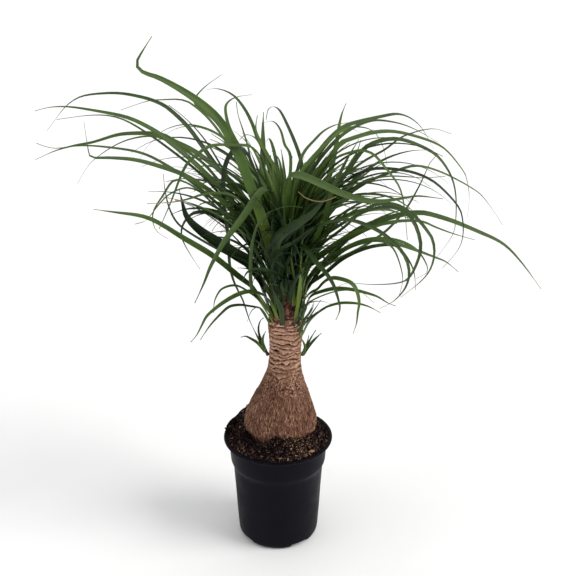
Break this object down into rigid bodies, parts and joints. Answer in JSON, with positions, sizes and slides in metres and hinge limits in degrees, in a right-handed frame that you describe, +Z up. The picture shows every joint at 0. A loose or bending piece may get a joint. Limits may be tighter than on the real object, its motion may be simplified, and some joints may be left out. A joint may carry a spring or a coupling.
{
  "type": "potted ponytail palm",
  "caption": "Young ponytail palm with a swollen bulb, ringed neck and arching strap leaves, in a black nursery pot.",
  "frame": {"origin": "centre of the pot's underside, on the surface that the pot stands on", "axes": "+Z up; +X to the right and -Y towards the viewer, seen from the front of the plant"},
  "size_m": [0.6075, 0.5048, 0.6632],
  "materials": {
    "pot_plastic": "thin black moulded plastic, satin, slightly bluish on the lip",
    "peat_soil": null,
    "bark": "corky brown bark, fine upright streaks on the bulb and irregular ring scars on the neck",
    "leaf_green": null,
    "shoot_green": null
  },
  "bodies": {
    "root": {"pot": "pot_plastic", "soil": "peat_soil", "trunk": "bark", "shoot_left": "shoot_green", "shoot_right": "shoot_green", "leaf_back_01": "leaf_green", "leaf_back_02": "leaf_green", "leaf_back_03": "leaf_green", "leaf_back_04": "leaf_green", "leaf_back_05": "leaf_green", "leaf_front_01": "leaf_green", "leaf_front_02": "leaf_green", "leaf_front_03": "leaf_green", "leaf_front_04": "leaf_green", "leaf_front_05": "leaf_green", "leaf_front_06": "leaf_green", "leaf_front_07": "leaf_green", "leaf_left_01": "leaf_green", "leaf_left_02": "leaf_green", "leaf_left_03": "leaf_green", "leaf_left_04": "leaf_green", "leaf_left_05": "leaf_green", "leaf_left_06": "leaf_green", "leaf_left_07": "leaf_green", "leaf_left_08": "leaf_green", "leaf_left_09": "leaf_green", "leaf_left_10": "leaf_green", "leaf_left_11": "leaf_green", "leaf_left_12": "leaf_green", "leaf_left_13": "leaf_green", "leaf_left_14": "leaf_green", "leaf_left_15": "leaf_green", "leaf_left_16": "leaf_green", "leaf_left_17": "leaf_green", "leaf_left_18": "leaf_green", "leaf_left_19": "leaf_green", "leaf_right_01": "leaf_green", "leaf_right_02": "leaf_green", "leaf_right_03": "leaf_green", "leaf_right_04": "leaf_green", "leaf_right_05": "leaf_green", "leaf_right_06": "leaf_green", "leaf_right_07": "leaf_green", "leaf_right_08": "leaf_green", "leaf_right_09": "leaf_green", "leaf_right_10": "leaf_green", "leaf_right_11": "leaf_green", "leaf_right_12": "leaf_green", "leaf_right_13": "leaf_green", "leaf_right_14": "leaf_green", "leaf_right_15": "leaf_green", "leaf_right_16": "leaf_green", "leaf_right_17": "leaf_green", "leaf_right_18": "leaf_green", "leaf_right_19": "leaf_green", "leaf_right_20": "leaf_green", "leaf_right_21": "leaf_green", "leaf_right_22": "leaf_green"}
  },
  "joints": []
}
